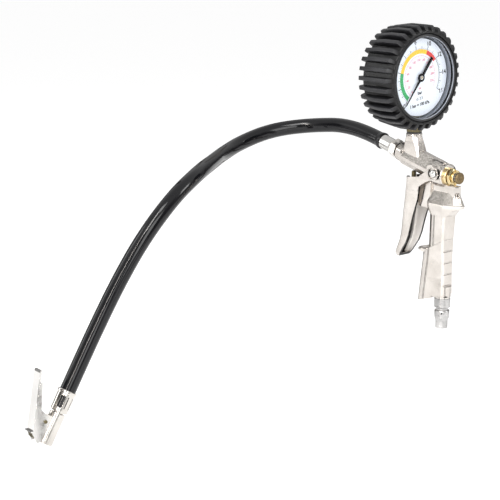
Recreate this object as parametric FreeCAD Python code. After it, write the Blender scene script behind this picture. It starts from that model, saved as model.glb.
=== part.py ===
import FreeCAD, Part
import os
import math

os.makedirs("parts", exist_ok=True)

# Pistol-style tyre inflator with a rubber-booted pressure gauge, a hose and a
# clip-on lever chuck.  Millimetres.  Shapes are drawn in the gauge's frame:
# X = 0 on the front face of the dial, +X towards the user, +Z up, Y across.
# They are moved at the end so that the origin is the centre of the lower end
# of the air inlet plug.

# ---------------------------------------------------------------- driving sizes
INLET_X = 32.5            # inlet plug axis behind the dial face
INLET_END_Z = -205.0      # lower end of the inlet plug
TILT = 14.5               # barrel axis falls this much towards the user, degrees
BAR_X0, BAR_Z0 = -23.0, -62.0   # a point on the barrel axis
BAR_FRONT_X = -19.5       # front face of the barrel
BAR_HH = 9.2              # barrel half height
BAR_HW = 8.0              # barrel half width
PIV_X, PIV_Z = 26.5, -74.8      # trigger pivot
VALVE_Z = -98.0           # main valve axis
NECK_X = -5.4             # gauge stem axis
BLEED_Z = -77.0           # bleed valve axis
CASE_R = 34.0             # gauge case outer radius
BEZEL_R = 36.0            # bezel outer radius (63 mm class gauge)
BOOT_R = 38.2             # boot skin radius
LUG_R = 43.4              # boot lug tip radius
LUG_N = 32
BOOT_X0, BOOT_X1 = -31.0, 6.0
MOVE_X = -1.0             # dial, pointer and movement sit this far behind X = 0
DIAL_ROT = -8.0           # dial turned a little anticlockwise on its thread
HOSE_D = 12.7
SECTOR_RATIO = 8.0        # 80 tooth sector wheel on a 10 tooth pinion
MODULE = 0.3

V = FreeCAD.Vector
OFFSET = V(-INLET_X, 0, -INLET_END_Z)
ct, st = math.cos(math.radians(TILT)), math.sin(math.radians(TILT))


def bar_z(x):
    return BAR_Z0 - (x - BAR_X0) * st / ct


# ---------------------------------------------------------------- helpers
def box(x0, x1, y0, y1, z0, z1):
    return Part.makeBox(x1 - x0, y1 - y0, z1 - z0, V(x0, y0, z0))


def cyl(p, d, r, h):
    return Part.makeCylinder(r, h, V(*p), V(*d))


def cone(p, d, r0, r1, h):
    return Part.makeCone(r0, r1, h, V(*p), V(*d))


def tube(p, d, ro, ri, h):
    return cyl(p, d, ro, h).cut(cyl(p, d, ri, h))


def poly_face(pts):
    w = Part.makePolygon([V(*p) for p in pts] + [V(*pts[0])])
    return Part.Face(w)


def prism_xz(pts, y0, y1):
    return poly_face([(x, y0, z) for x, z in pts]).extrude(V(0, y1 - y0, 0))


def prism_yz(pts, x0, x1):
    return poly_face([(x0, y, z) for y, z in pts]).extrude(V(x1 - x0, 0, 0))


def loft(sections):
    wires = []
    for s in sections:
        wires.append(Part.makePolygon([V(*p) for p in s] + [V(*s[0])]))
    return Part.makeLoft(wires, True, True)


def placed(shape, o, z, x):
    """Move a shape drawn on local axes so that local Z lies along z."""
    z = V(*z); z.normalize()
    x = V(*x); x = x - z * x.dot(z); x.normalize()
    y = z.cross(x)
    m = FreeCAD.Matrix(x.x, y.x, z.x, o[0], x.y, y.y, z.y, o[1],
                       x.z, y.z, z.z, o[2], 0, 0, 0, 1)
    s = shape.copy()
    s.transformShape(m)
    return s


def turned(profile):
    """Solid of revolution about local Z from (r, z) points."""
    pts = [V(r, 0, z) for r, z in profile]
    f = Part.Face(Part.makePolygon(pts + [pts[0]]))
    return f.revolve(V(0, 0, 0), V(0, 0, 1), 360)


def hexagon(af, h, z0=0.0, rot=0.0):
    r = af / math.sqrt(3.0)
    pts = [V(r * math.cos(math.radians(60 * k + rot)), r * math.sin(math.radians(60 * k + rot)), z0) for k in range(6)]
    return Part.Face(Part.makePolygon(pts + [pts[0]])).extrude(V(0, 0, h))


def chamfered_hex(af, h, z0=0.0, rot=0.0):
    """Hexagon with its corners turned down on both faces."""
    r = af / math.sqrt(3.0)
    c = (r - af / 2.0) * 0.9
    body = turned([(0, z0), (r - c, z0), (r + 0.02, z0 + c * 0.6), (r + 0.02, z0 + h - c * 0.6), (r - c, z0 + h), (0, z0 + h)])
    return hexagon(af, h, z0, rot).common(body)


def helix_spring(r_mid, wire, z0, z1, turns):
    """Compression spring about local Z, drawn as a swept round wire."""
    h = z1 - z0 - wire
    hx = Part.makeHelix(h / turns, h, r_mid)
    hx.translate(V(0, 0, z0 + wire / 2.0))
    prof = Part.Wire([Part.makeCircle(wire / 2.0, V(r_mid, 0, z0 + wire / 2.0), V(0, 1, 0))])
    s = Part.Wire(hx.Edges).makePipeShell([prof], True, True)
    return s


def fuse(items):
    s = items[0]
    if len(items) > 1:
        s = s.fuse(items[1:])
    return s.removeSplitter()


nodes = {}


def add(name, shape, dx=0.0):
    s = shape.copy()
    s.translate(OFFSET + V(dx, 0, 0))
    nodes[name] = s
    if not s.isValid():
        print("INVALID", name)


# ================================================================ gun body
# Barrel: ten-sided casting with steep upper facets, running down to the user,
# with a short turned boss at its front face.
hh, hw, cf = BAR_HH, BAR_HW, 4.4
half = [(hh, 2.2), (-0.5, hw), (-3.5, hw), (-7.2, 5.9), (-hh, 2.4)]
oct_pts = [(u, -v) for u, v in half] + [(u, v) for u, v in reversed(half)]
front = (BAR_FRONT_X, 0.0, bar_z(BAR_FRONT_X))
rearward = (ct, 0, -st)
upward = (st, 0, ct)


def oct_section(s, k=1.0):
    return [(u * k, v * k, s) for u, v in oct_pts]


barrel_local = loft([oct_section(4.6, 0.84), oct_section(7.4), oct_section(46.0)])
front_boss = turned([(0, 0), (7.8, 0), (8.3, 0.5), (8.4, 5.6), (7.8, 7.6), (0, 7.6)])
barrel_local = barrel_local.fuse(front_boss)
barrel = placed(barrel_local, front, rearward, upward)
# Rear block: turned boss about the bleed valve, blended from the octagon.
rear_local = turned([(0, 0), (6.5, 0), (9.5, 5.0), (9.7, 11.0), (9.4, 14.2), (8.7, 15.0), (0, 15.0)])
rear_block = placed(rear_local, (19.0, 0, BLEED_Z + 0.3), (1, 0, 0), (0, 0, 1))
saddle = placed(turned([(0, 0), (8.6, 0), (9.6, 4.0), (9.4, 12.0), (0, 12.0)]), (17.0, 0, bar_z(17.0) - 0.2), rearward, upward)

# Neck: round rim on top, changing to a square foot that stands on the barrel.
def neck_ring(xc, hx0, hx1, hy, z, c):
    return [(xc + hx1, -hy + c, z), (xc + hx1 - c, -hy, z), (xc - hx0 + c, -hy, z), (xc - hx0, -hy + c, z),
            (xc - hx0, hy - c, z), (xc - hx0 + c, hy, z), (xc + hx1 - c, hy, z), (xc + hx1, hy - c, z)]


neck = loft([neck_ring(NECK_X, 6.4, 6.4, 6.3, -48.6, 3.4), neck_ring(NECK_X, 7.0, 7.7, 6.1, -52.5, 2.6),
             neck_ring(NECK_X, 7.2, 9.9, 6.0, -59.5, 1.6), neck_ring(NECK_X, 7.0, 10.9, 5.8, -65.0, 1.4)])
neck_rim = placed(turned([(0, 0), (6.4, 0), (6.7, 0.5), (6.7, 2.3), (6.2, 2.8), (0, 2.8)]), (NECK_X, 0, -48.8), (0, 0, 1), (1, 0, 0))

# Web between the barrel and the hand guard, with an upright spine at the back.
web = prism_xz([(11.0, -74.0), (34.0, -79.0), (44.8, -81.2), (44.8, -92.5), (15.5, -95.0), (17.5, -84.0)], -3.6, 3.6)

# Hand guard: a ridge that opens out into a faceted collar with a beak behind.
def ring8(z, pts):
    up = [(x, -y, z) for x, y in pts]
    dn = [(x, y, z) for x, y in reversed(pts)]
    return up + dn


guard = loft([
    ring8(-89.6, [(18.0, 2.8), (24.0, 3.5), (37.0, 3.5), (46.4, 0.9)]),
    ring8(-98.6, [(16.4, 4.8), (23.6, 10.3), (38.2, 10.3), (51.0, 1.4)]),
    ring8(-99.2, [(16.2, 5.0), (23.5, 10.9), (38.4, 10.9), (51.6, 1.5)]),
    ring8(-101.6, [(16.4, 5.2), (23.6, 10.9), (38.4, 10.9), (50.4, 2.0)]),
    ring8(-104.4, [(17.4, 5.4), (23.8, 10.0), (38.0, 9.7), (43.6, 4.6)]),
    ring8(-109.4, [(19.4, 4.6), (24.8, 8.0), (36.4, 7.8), (38.8, 5.6)])])


# Grip: oval-fronted column above the finger rest, deeper teardrop below it.
def grip_section(z, xf, rf, xr, wr, n=17):
    """Rounded front, half width rf and half as deep again, running to a flat back of half width wr."""
    ax = 1.5 * rf
    xc = xf + ax
    pts = []
    for k in range(n):
        a = -math.radians(84) + math.radians(168) * k / (n - 1)
        pts.append((xc - ax * math.cos(a), rf * math.sin(a), z))
    pts += [(xr - 1.6, wr, z), (xr, wr - 1.6, z), (xr, -wr + 1.6, z), (xr - 1.6, -wr, z)]
    return pts


column = loft([grip_section(-99.0, 17.7, 8.0, 40.6, 7.2), grip_section(-106.0, 17.7, 8.0, 38.4, 7.6),
               grip_section(-114.0, 17.6, 8.0, 37.6, 7.7), grip_section(-128.0, 17.5, 8.0, 37.0, 7.4),
               grip_section(-146.0, 17.4, 8.0, 37.0, 6.2)])
lower = loft([grip_section(-116.0, 12.9, 9.8, 37.0, 7.6), grip_section(-134.0, 12.2, 9.8, 37.1, 7.1), grip_section(-146.0, 11.6, 9.7, 37.4, 6.4),
              grip_section(-162.0, 9.6, 9.4, 37.8, 6.2), grip_section(-190.0, 6.6, 9.0, 38.2, 7.2)])
# Both ends of the lower grip are cut on a slope.
lower = lower.cut(prism_xz([(-5.0, -142.0), (15.5, -139.5), (21.0, -138.9), (39.0, -128.0), (45.0, -124.4), (45.0, -100.0), (-5.0, -100.0)], -20, 20))
lower = lower.cut(prism_xz([(-5.0, -190.0), (45.0, -173.6), (45.0, -200.0), (-5.0, -200.0)], -20, 20))
# Finger rest: a round dished lip standing out in front of the column.
rest_o, rest_n = (15.9, 0.0, -139.2), (-0.1219, 0.0, 0.9925)
rest_u = (0.9925, 0.0, 0.1219)
hook = placed(turned([(0, -5.2), (4.6, -5.0), (7.8, -2.6), (9.0, -1.3), (9.2, -0.4), (9.0, 0.4), (8.3, 0.7), (7.6, 0.3),
                      (5.4, -1.2), (3.0, -1.9), (0, -2.1)]), rest_o, rest_n, rest_u)
dish = placed(turned([(0, -2.1), (3.0, -1.9), (5.4, -1.2), (7.6, 0.3), (8.3, 0.7), (8.4, 14.0), (0, 14.0)]), rest_o, rest_n, rest_u)
lower = lower.cut(dish)
# Forward boss of the main valve, between the trigger's cheeks.
valve_boss = prism_xz([(7.0, -103.2), (7.0, -82.4), (9.4, -80.0), (20.0, -81.0), (20.0, -105.0), (8.6, -105.0)], -5.6, 5.6)
# Inlet boss inside the rear of the grip foot.
boss = cyl((INLET_X, 0, -181.0), (0, 0, 1), 6.9, 12.0)
foot_cut = prism_xz([(-5.0, -190.0), (45.0, -173.6), (45.0, -205.0), (-5.0, -205.0)], -20, 20)
boss_flat = box(INLET_X - 8, INLET_X + 8, -8, 8, -186.0, -178.0)

gun = fuse([barrel, saddle, rear_block, neck, neck_rim, web, guard, valve_boss, column, lower, hook, boss])
gun = gun.cut(boss_flat)
# Flat cheeks for the trigger's ears, and a round pocket for the bleed valve's flange.
gun = gun.cut([box(-22.0, 32.7, 8.0, 14.0, -92.0, -56.0), box(-22.0, 32.7, -14.0, -8.0, -92.0, -56.0),
               cyl((34.0, 0, BLEED_Z), (1, 0, 0), 7.9, 16.0)])

# Finger grooves across the flat back of the grip.
grooves = []
for x, z in ((37.55, -138.9), (37.9, -148.6), (38.1, -158.3), (38.25, -168.1), (38.4, -177.4)):
    grooves.append(Part.makeCylinder(0.8, 24.0, V(x, -12, z), V(0, 1, 0)))
gun = gun.cut(grooves)

# Air ways and seats.
bore_front = placed(Part.makeCylinder(4.86, 9.5), front, rearward, upward)
bore_barrel = placed(Part.makeCylinder(2.4, 44.0), front, rearward, upward)
bore_neck = cyl((NECK_X, 0, -45.0), (0, 0, -1), 4.86, 10.5)
way_neck = cyl((NECK_X, 0, -55.0), (0, 0, -1), 1.6, 12.0)
bore_bleed = cyl((17.8, 0, BLEED_Z), (1, 0, 0), 3.6, 22.7)
way_up = cyl((22.0, 0, VALVE_Z), (0, 0, 1), 1.8, 25.0)
bore_valve = cyl((6.0, 0, VALVE_Z), (1, 0, 0), 4.8, 24.4)
bore_spring = cyl((28.0, 0, VALVE_Z), (1, 0, 0), 4.2, 13.0)
way_grip = cyl((INLET_X, 0, -178.5), (0, 0, 1), 2.4, 80.5)
bore_inlet = cyl((INLET_X, 0, -179.0), (0, 0, 1), 4.86, 10.0)
piv_bore = cyl((PIV_X, -12.0, PIV_Z), (0, 1, 0), 2.0, 6.6).fuse(cyl((PIV_X, 12.0, PIV_Z), (0, -1, 0), 2.0, 6.6))
gun = gun.cut([bore_front, bore_barrel, bore_neck, way_neck, bore_bleed, way_up, bore_valve, bore_spring, way_grip, bore_inlet, piv_bore])
gun = gun.removeSplitter()
print("gun solids", len(gun.Solids), "valid", gun.isValid(), "vol", round(gun.Volume))
gun = max(gun.Solids, key=lambda s: s.Volume)
add("gun_body", gun)

# ================================================================ inlet plug
z0 = INLET_END_Z
plug = turned([(2.4, z0), (5.15, z0), (5.15, z0 + 6.0), (6.1, z0 + 9.0), (6.3, z0 + 14.4), (5.9, z0 + 15.1),
               (4.9, z0 + 15.6), (4.9, z0 + 17.0), (5.6, z0 + 17.4), (6.7, z0 + 18.0), (6.7, z0 + 25.4), (6.3, z0 + 25.8),
               (4.86, z0 + 25.8), (4.86, z0 + 35.4), (4.3, z0 + 36.0), (2.4, z0 + 36.0)])
plug.translate(V(INLET_X, 0, 0))
side_holes = [Part.makeCylinder(0.75, 7.0, V(INLET_X, 0, z0 + 13.2), V(math.cos(math.radians(a)), math.sin(math.radians(a)), 0)) for a in (-49, 23, 95, 167, 239)]
plug = plug.cut(side_holes)
flats = [Part.makeBox(14, 3, 5.6, V(INLET_X - 7, 6.1 if s > 0 else -9.1, z0 + 19.0)) for s in (1, -1)]
plug = plug.cut(flats)
add("inlet_plug", plug)
add("inlet_seal_washer", tube((INLET_X, 0, z0 + 25.8), (0, 0, 1), 6.5, 4.86, 1.2))

# ================================================================ main valve
cart = turned([(1.85, 0), (4.6, 0), (6.0, 0.7), (6.0, 3.3), (5.6, 3.9), (4.8, 3.9), (4.8, 17.9), (3.9, 17.9), (3.9, 19.9), (4.8, 19.9), (4.8, 25.9),
               (3.4, 25.9), (3.4, 24.7), (2.6, 24.7), (2.6, 17.5), (1.85, 17.5)])
hexhead = chamfered_hex(10.6, 3.9, 0.0)
hexhead = hexhead.cut(Part.makeCylinder(1.85, 5, V(0, 0, -0.5)))
cart = cart.common(hexhead.fuse(Part.makeCylinder(4.8, 24, V(0, 0, 3.8)))).removeSplitter()
cross = [Part.makeCylinder(1.1, 6.0, V(0, 0, 18.9), V(math.cos(a), math.sin(a), 0)) for a in (0, math.pi / 2, math.pi, 3 * math.pi / 2)]
cart = cart.cut(cross)
# Inner groove for the stem ring.
cart = cart.cut(tube((0, 0, 5.2), (0, 0, 1), 2.95, 1.8, 1.5))
cart = placed(cart, (3.1, 0, VALVE_Z), (1, 0, 0), (0, 0, 1))
add("valve_cartridge", cart)
add("stem_o_ring", placed(turned([(1.79, 5.25), (2.95, 5.25), (2.95, 6.65), (1.79, 6.65)]), (3.1, 0, VALVE_Z), (1, 0, 0), (0, 0, 1)))
add("cartridge_seal_ring", placed(turned([(3.9, 18.0), (4.75, 18.0), (4.75, 18.45), (3.9, 18.45)]), (3.1, 0, VALVE_Z), (1, 0, 0), (0, 0, 1)))
stem = turned([(0, 0.2), (1.0, 0.2), (1.75, 1.0), (1.75, 36.4), (3.1, 36.4), (3.1, 38.2), (1.6, 38.2), (1.6, 40.4), (0, 40.4)])
add("valve_stem", placed(stem, (-7.0, 0, VALVE_Z), (1, 0, 0), (0, 0, 1)))
add("valve_poppet_seal", placed(turned([(1.75, 36.05), (3.3, 36.05), (3.3, 36.4), (1.75, 36.4)]), (-7.0, 0, VALVE_Z), (1, 0, 0), (0, 0, 1)))
vs = helix_spring(2.6, 0.7, 31.2, 41.0, 6)
add("valve_spring", placed(vs, (0, 0, VALVE_Z), (1, 0, 0), (0, 0, 1)))

# ================================================================ bleed valve
bz = BLEED_Z
bb = turned([(1.58, -9.8), (3.6, -9.8), (3.6, 0.0), (7.3, 0.0), (7.3, 2.4), (6.8, 3.0), (4.6, 3.0), (4.6, 7.9), (4.1, 8.4), (3.3, 8.4), (3.3, 4.4), (1.58, 4.4)])
bb = placed(bb, (34.0, 0, bz), (1, 0, 0), (0, 0, 1))
add("bleed_valve_body", bb)
ring = chamfered_hex(12.2, 3.2, 0.0, 12.0).cut(Part.makeCylinder(4.6, 5, V(0, 0, -1)))
notch = [Part.makeBox(2.2, 20, 1.4, V(-1.1, -10, 2.4)), Part.makeBox(20, 2.2, 1.4, V(-10, -1.1, 2.4))]
ring = ring.cut(notch)
ring = max(ring.Solids, key=lambda s: s.Volume)
add("bleed_lock_nut", placed(ring, (38.0, 0, bz), (1, 0, 0), (0, 0, 1)))
btn = turned([(0, -13.6), (2.6, -13.6), (2.9, -13.2), (2.9, -12.0), (1.5, -11.2), (1.5, 10.8), (3.4, 10.8), (4.4, 11.0), (4.8, 11.4), (4.8, 12.6), (4.3, 13.2), (1.6, 13.3), (0.6, 12.9), (0, 12.9)])
# Serrated rim of the button.
serr = []
for k in range(28):
    a = 2 * math.pi * k / 28
    serr.append(Part.makeCylinder(0.26, 3.0, V(4.95 * math.cos(a), 4.95 * math.sin(a), 10.5), V(0, 0, 1)))
btn = btn.cut(serr)
add("bleed_button", placed(btn, (34.0, 0, bz), (1, 0, 0), (0, 0, 1)))
add("bleed_seal_ring", placed(turned([(1.5, -11.2), (3.1, -11.2), (3.1, -9.8), (1.5, -9.8)]), (34.0, 0, bz), (1, 0, 0), (0, 0, 1)))
bs = helix_spring(2.45, 0.55, 4.4, 10.8, 5)
add("bleed_spring", placed(bs, (34.0, 0, bz), (1, 0, 0), (0, 0, 1)))

# ================================================================ trigger
# A cast channel with a rounded front, open to the back, with two ears above.
def trig_ring(z, xf, w, xr, d, n=13):
    pts = []
    for k in range(n):
        a = -math.pi / 2 + math.pi * k / (n - 1)
        pts.append((xf + d - d * math.cos(a), w * math.sin(a), z))
    pts += [(xr, w, z), (xr, -w, z)]
    return pts


TRIG = [(-81.4, -7.6, 10.0, 11.6), (-87.0, -7.9, 9.7, 11.0), (-99.0, -9.2, 9.3, 9.0), (-113.5, -11.0, 9.0, 4.0), (-122.0, -11.9, 8.8, 1.6),
        (-130.5, -12.8, 8.7, -0.6), (-137.5, -14.6, 8.6, -3.4), (-144.0, -17.6, 8.4, -7.8), (-148.6, -19.6, 7.8, -10.8), (-151.4, -19.3, 6.4, -12.6)]
outer = loft([trig_ring(z, xf, w, xr, 6.0) for z, xf, w, xr in TRIG])
inner_rows = [(z, xf + 2.0, w - 1.9, xr + 12.0) for z, xf, w, xr in TRIG]
inner_rows = [(-80.0, inner_rows[0][1], inner_rows[0][2], inner_rows[0][3])] + inner_rows[1:-1]
inner = loft([trig_ring(z, xf, w, xr, 4.6) for z, xf, w, xr in inner_rows])
trig = outer.cut(inner)
# Closing bridge at the top front and two ears to the pivot.
bridge = loft([trig_ring(z, xf, w, xr, 6.0) for z, xf, w, xr in [(-86.6, -7.9, 9.7, 0.0), (-88.8, -8.1, 9.6, 0.0)]])
ear_pts = [(-1.6, -83.4), (-1.6, -81.4), (10.0, -79.6), (19.6, -72.6), (22.0, -70.6), (26.5, -69.4), (31.2, -72.0), (32.0, -75.4), (29.6, -79.4), (24.6, -80.4), (17.0, -83.4), (11.0, -87.6), (9.8, -92.0), (-1.6, -92.0)]
ear_l = prism_xz(ear_pts, -10.0, -8.15)
ear_r = prism_xz(ear_pts, 8.15, 10.0)
rings = [cyl((PIV_X, -10.9, PIV_Z), (0, 1, 0), 5.8, 2.75), cyl((PIV_X, 10.9, PIV_Z), (0, -1, 0), 5.8, 2.75)]
trig = fuse([trig, bridge, ear_l, ear_r] + rings)
# Room for the barrel above the bridge and for the pivot screws.
trig = trig.cut([cyl((PIV_X, -14, PIV_Z), (0, 1, 0), 2.56, 28.0), cyl((PIV_X, -11.2, PIV_Z), (0, 1, 0), 4.9, 1.6), cyl((PIV_X, 11.2, PIV_Z), (0, -1, 0), 4.9, 1.6)])
# Notch in the front wall for the stop screw and its nut.
trig = trig.cut(box(-12.0, -0.4, -4.2, 4.2, -86.6, -80.0))
trig = trig.cut(cyl((-4.4, 0, -95.0), (0, 0, 1), 1.95, 20.0))
trig = trig.removeSplitter()
print("trigger solids", len(trig.Solids), trig.isValid(), round(trig.Volume))
trig = max(trig.Solids, key=lambda s: s.Volume)
add("trigger", trig)
stop = turned([(0, 0), (1.95, 0), (1.95, 11.3), (1.3, 12.0), (0, 12.0)])
add("trigger_stop_screw", placed(stop, (-4.4, 0, -89.6), (0, 0, 1), (1, 0, 0)))
nut = chamfered_hex(6.4, 2.4, 0.0, 20.0).cut(Part.makeCylinder(1.95, 4, V(0, 0, -1)))
add("trigger_stop_nut", placed(nut, (-4.4, 0, -86.6), (0, 0, 1), (1, 0, 0)))


def pivot_screw(sgn):
    p = turned([(0, 0), (2.0, 0), (2.0, 2.5), (2.5, 2.5), (2.5, 4.4), (3.3, 4.4), (3.3, 5.1), (2.9, 5.8), (2.0, 6.3), (0, 6.5)])
    p = p.cut(Part.makeBox(8, 0.8, 0.8, V(-4, -0.4, 5.9)))
    return placed(p, (PIV_X, sgn * 5.5, PIV_Z), (0, sgn, 0), (1, 0, 0))


add("trigger_pivot_screws", Part.makeCompound([pivot_screw(1), pivot_screw(-1)]))

# ================================================================ hose fitting
f_dir = (-ct, 0, st)
fit = turned([(2.2, -9.0), (4.86, -9.0), (4.86, 1.8), (5.4, 1.8), (5.4, 8.2), (6.0, 8.2), (4.0, 8.2), (4.0, 22.0), (3.5, 22.4), (3.8, 25.0), (3.4, 27.0), (2.2, 27.0)])
fit_core = turned([(2.2, -9.0), (4.86, -9.0), (4.86, 1.8), (4.86, 8.4), (4.2, 8.4), (4.2, 22.3), (3.6, 22.3), (3.6, 27.0), (2.2, 27.0)])
fhex = chamfered_hex(14.2, 6.4, 1.8, 8.0).cut(Part.makeCylinder(4.5, 12, V(0, 0, 0)))
fitting = fuse([fit_core, fhex])
rings_cut = [tube((0, 0, z), (0, 0, 1), 5.2, 4.45, 0.5) for z in (0.5, 1.25)]
fitting = fitting.cut(rings_cut)
add("hose_fitting", placed(fitting, front, f_dir, upward))
sleeve = turned([(4.2, 8.4), (5.9, 8.4), (6.3, 9.0), (6.35, 9.8), (6.1, 10.3), (6.1, 21.6), (5.7, 22.2), (4.2, 22.2)])
add("fitting_sleeve", placed(sleeve, front, f_dir, upward))
add("fitting_seal_washer", placed(turned([(4.86, 0.0), (6.4, 0.0), (6.4, 0.45), (4.86, 0.45)]), front, f_dir, upward))
collar = turned([(3.6, 22.3), (6.7, 22.3), (7.1, 22.7), (7.1, 24.0), (6.8, 25.4), (6.4, 27.06), (3.6, 27.06)])
add("hose_end_collar", placed(collar, front, f_dir, upward))

# ================================================================ hose
hx, hz = front[0] - ct * 27.06, front[2] + st * 27.06
ROUTE = [(hx, 0.0, hz), (hx - 33.0, 0.0, hz + 33.0 * st / ct), (-115.5, -17.5, -50.0), (-136.5, -45.0, -54.5), (-142.0, -75.5, -63.2),
         (-131.5, -106.0, -70.3), (-106.2, -134.1, -69.7), (-82.1, -165.0, -71.0), (-70.5, -198.7, -85.2), (-70.1, -228.2, -113.8),
         (-73.3, -249.3, -145.3), (-75.2, -268.3, -177.0), (-75.4, -286.8, -207.8), (-74.9, -304.8, -237.4)]


def route_path(pts):
    pv = [V(*p) for p in pts]
    edges, cur = [], pv[0]
    total = 0.0
    for i in range(1, len(pv) - 1):
        a, b = pv[i] - pv[i - 1], pv[i + 1] - pv[i]
        la, lb = a.Length, b.Length
        a = a * (1 / la); b = b * (1 / lb)
        turn = math.acos(max(-1, min(1, a.dot(b))))
        t = 0.45 * min(la, lb)
        r = t / math.tan(turn / 2)
        p0, p1 = pv[i] - a * t, pv[i] + b * t
        nrm = (b - a); nrm.normalize()
        mid = pv[i] + nrm * (r / math.cos(turn / 2) - r)
        edges.append(Part.LineSegment(cur, p0).toShape())
        edges.append(Part.Arc(p0, mid, p1).toShape())
        total += (p0 - cur).Length + r * turn
        print("route point %d run %.1f turn %.1f radius %.0f" % (i, la, math.degrees(turn), r))
        cur = p1
    edges.append(Part.LineSegment(cur, pv[-1]).toShape())
    total += (pv[-1] - cur).Length
    return Part.Wire(edges), total


path, hose_len = route_path(ROUTE)
d0 = V(*ROUTE[1]) - V(*ROUTE[0])
prof = Part.Wire([Part.makeCircle(HOSE_D / 2, V(*ROUTE[0]), d0)])
hose = path.makePipeShell([prof], True, False, 0)
if not hose.Solids:
    hose = Part.Solid(hose)
want = math.pi * HOSE_D ** 2 / 4 * hose_len
print("hose length %.1f volume %.0f expected %.0f" % (hose_len, hose.Volume, want))
add("hose", hose)
hose_end = V(*ROUTE[-1])

# ================================================================ chuck
ca = V(*ROUTE[-1]) - V(*ROUTE[-2]); ca.normalize()
CO = hose_end - ca * 16.0            # ferrule mouth, on the hose axis
cn = V(-0.15, -0.80, 0.49)
cn = cn - ca * cn.dot(ca); cn.normalize()
cb = ca.cross(cn)                     # +b faces away from the viewer's side
print("chuck origin", CO + OFFSET, "axis", ca, "lever side", cn, "b", cb)


def chuck(shape):
    return placed(shape, (CO.x, CO.y, CO.z), (ca.x, ca.y, ca.z), (cn.x, cn.y, cn.z))


# Local axes here: z along the chuck, x to the lever side, y across.
fer = turned([(6.4, 0.2), (7.3, 0.2), (7.6, 0.6), (7.6, 2.0), (7.1, 2.8), (7.0, 16.6), (6.6, 17.4), (4.6, 17.4), (4.6, 16.3), (6.4, 16.3)])
wins = []
for a in (-55, 125):
    w = Part.makeBox(4, 4.0, 9.4, V(5.0, -2.0, 4.6))
    w.rotate(V(0, 0, 0), V(0, 0, 1), a)
    wins.append(w)
slits = []
for a in (-125, -90, 55, 90):
    w = Part.makeBox(4, 0.8, 9.4, V(5.0, -0.4, 4.6))
    w.rotate(V(0, 0, 0), V(0, 0, 1), a)
    slits.append(w)
fer = fer.cut(wins).cut(slits)
add("chuck_ferrule", chuck(fer))

body = fuse([turned([(0, 16.3), (4.6, 16.3), (4.6, 18.3), (6.2, 18.6), (6.3, 19.0), (6.3, 42.9), (5.6, 43.6), (0, 43.6)]),
             Part.makeBox(11.4, 9.4, 11.6, V(1.6, -4.7, 22.4)),
             Part.makeBox(6.0, 9.4, 9.6, V(1.6, -4.7, 33.0))])
corner = Part.makeBox(6, 12, 6, V(0, -6, 0)); corner.rotate(V(0, 0, 0), V(0, 1, 0), 40); corner.translate(V(11.4, 0, 21.4))
body = body.cut(corner)
body = body.cut([Part.makeCylinder(1.6, 40, V(0, 0, 10)), Part.makeCylinder(4.1, 12, V(0, 0, 33.6)), Part.makeCylinder(4.9, 3.0, V(0, 0, 30.6)),
                 Part.makeCylinder(1.05, 20, V(9.2, -10, 27.8), V(0, 1, 0)), Part.makeBox(8.0, 5.6, 12.0, V(3.6, -2.8, 35.4))])
nick = Part.makeBox(2.4, 1.3, 4.6, V(5.0, -0.65, 36.6))
nick.rotate(V(0, 0, 0), V(0, 0, 1), -66)
body = body.cut(nick)
body = body.removeSplitter()
print("chuck body", len(body.Solids), body.isValid())
body = max(body.Solids, key=lambda s: s.Volume)
add("chuck_body", chuck(body))
add("chuck_mouth_seal", chuck(turned([(2.2, 30.6), (4.9, 30.6), (4.9, 33.6), (4.4, 33.6), (4.1, 33.3), (2.2, 32.7)])))
dep = fuse([turned([(0.7, 25.0), (1.6, 25.0), (1.6, 29.0), (0.9, 29.0), (0.9, 32.9), (0.6, 33.3), (0.0, 33.3), (0, 30.0), (0.7, 30.0)])])
dep = dep.cut(Part.makeBox(0.5, 4, 4.4, V(-0.25, -2, 24.8)))
dep = max(dep.Solids, key=lambda s: s.Volume)
add("chuck_depressor", chuck(dep))

cheek = [(18.5, 20.6), (23.2, 10.4), (24.4, 6.8), (43.6, 6.8), (45.0, 8.2), (40.2, 14.2), (38.6, 14.8)]


def cheek_solid(y0, y1):
    f = Part.Face(Part.makePolygon([V(n, y0, t) for t, n in cheek] + [V(cheek[0][1], y0, cheek[0][0])]))
    return f.extrude(V(0, y1 - y0, 0))


plate_pts = [(38.8, 14.9), (-4.0, 29.7), (-6.0, 29.9), (-6.5, 28.9), (-4.4, 28.2), (38.4, 13.4)]
plate = Part.Face(Part.makePolygon([V(n, -6.1, t) for t, n in plate_pts] + [V(plate_pts[0][1], -6.1, plate_pts[0][0])])).extrude(V(0, 12.2, 0))
taper = Part.Face(Part.makePolygon([V(0, -6.1, 45), V(0, 6.1, 45), V(0, 6.1, 17), V(0, 5.8, -5.8), V(0, 5.2, -6.7), V(0, -5.2, -6.7), V(0, -5.8, -5.8), V(0, -6.1, 17)] + [V(0, -6.1, 45)])).extrude(V(40, 0, 0))
plate = plate.common(taper)
foot = Part.Face(Part.makePolygon([V(n, -6.1, t) for t, n in [(37.4, 13.6), (38.4, 16.6), (39.5, 16.6), (38.9, 13.2)]] + [V(13.6, -6.1, 37.4)])).extrude(V(0, 12.2, 0))
flange = []
for y0, y1 in ((-6.1, -4.95), (4.95, 6.1)):
    f = Part.Face(Part.makePolygon([V(n, y0, t) for t, n in [(22.0, 19.8), (2.0, 26.0), (2.0, 24.2), (21.0, 16.0)]] + [V(19.8, y0, 22.0)])).extrude(V(0, y1 - y0, 0))
    flange.append(f)
lever = fuse([plate, cheek_solid(-6.1, -4.95), cheek_solid(4.95, 6.1), foot] + flange)
lever = lever.cut(Part.makeCylinder(1.1, 20, V(9.2, -10, 27.8), V(0, 1, 0)))
print("lever", len(lever.Solids), lever.isValid())
lever = max(lever.Solids, key=lambda s: s.Volume)
add("chuck_lever", chuck(lever))
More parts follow.
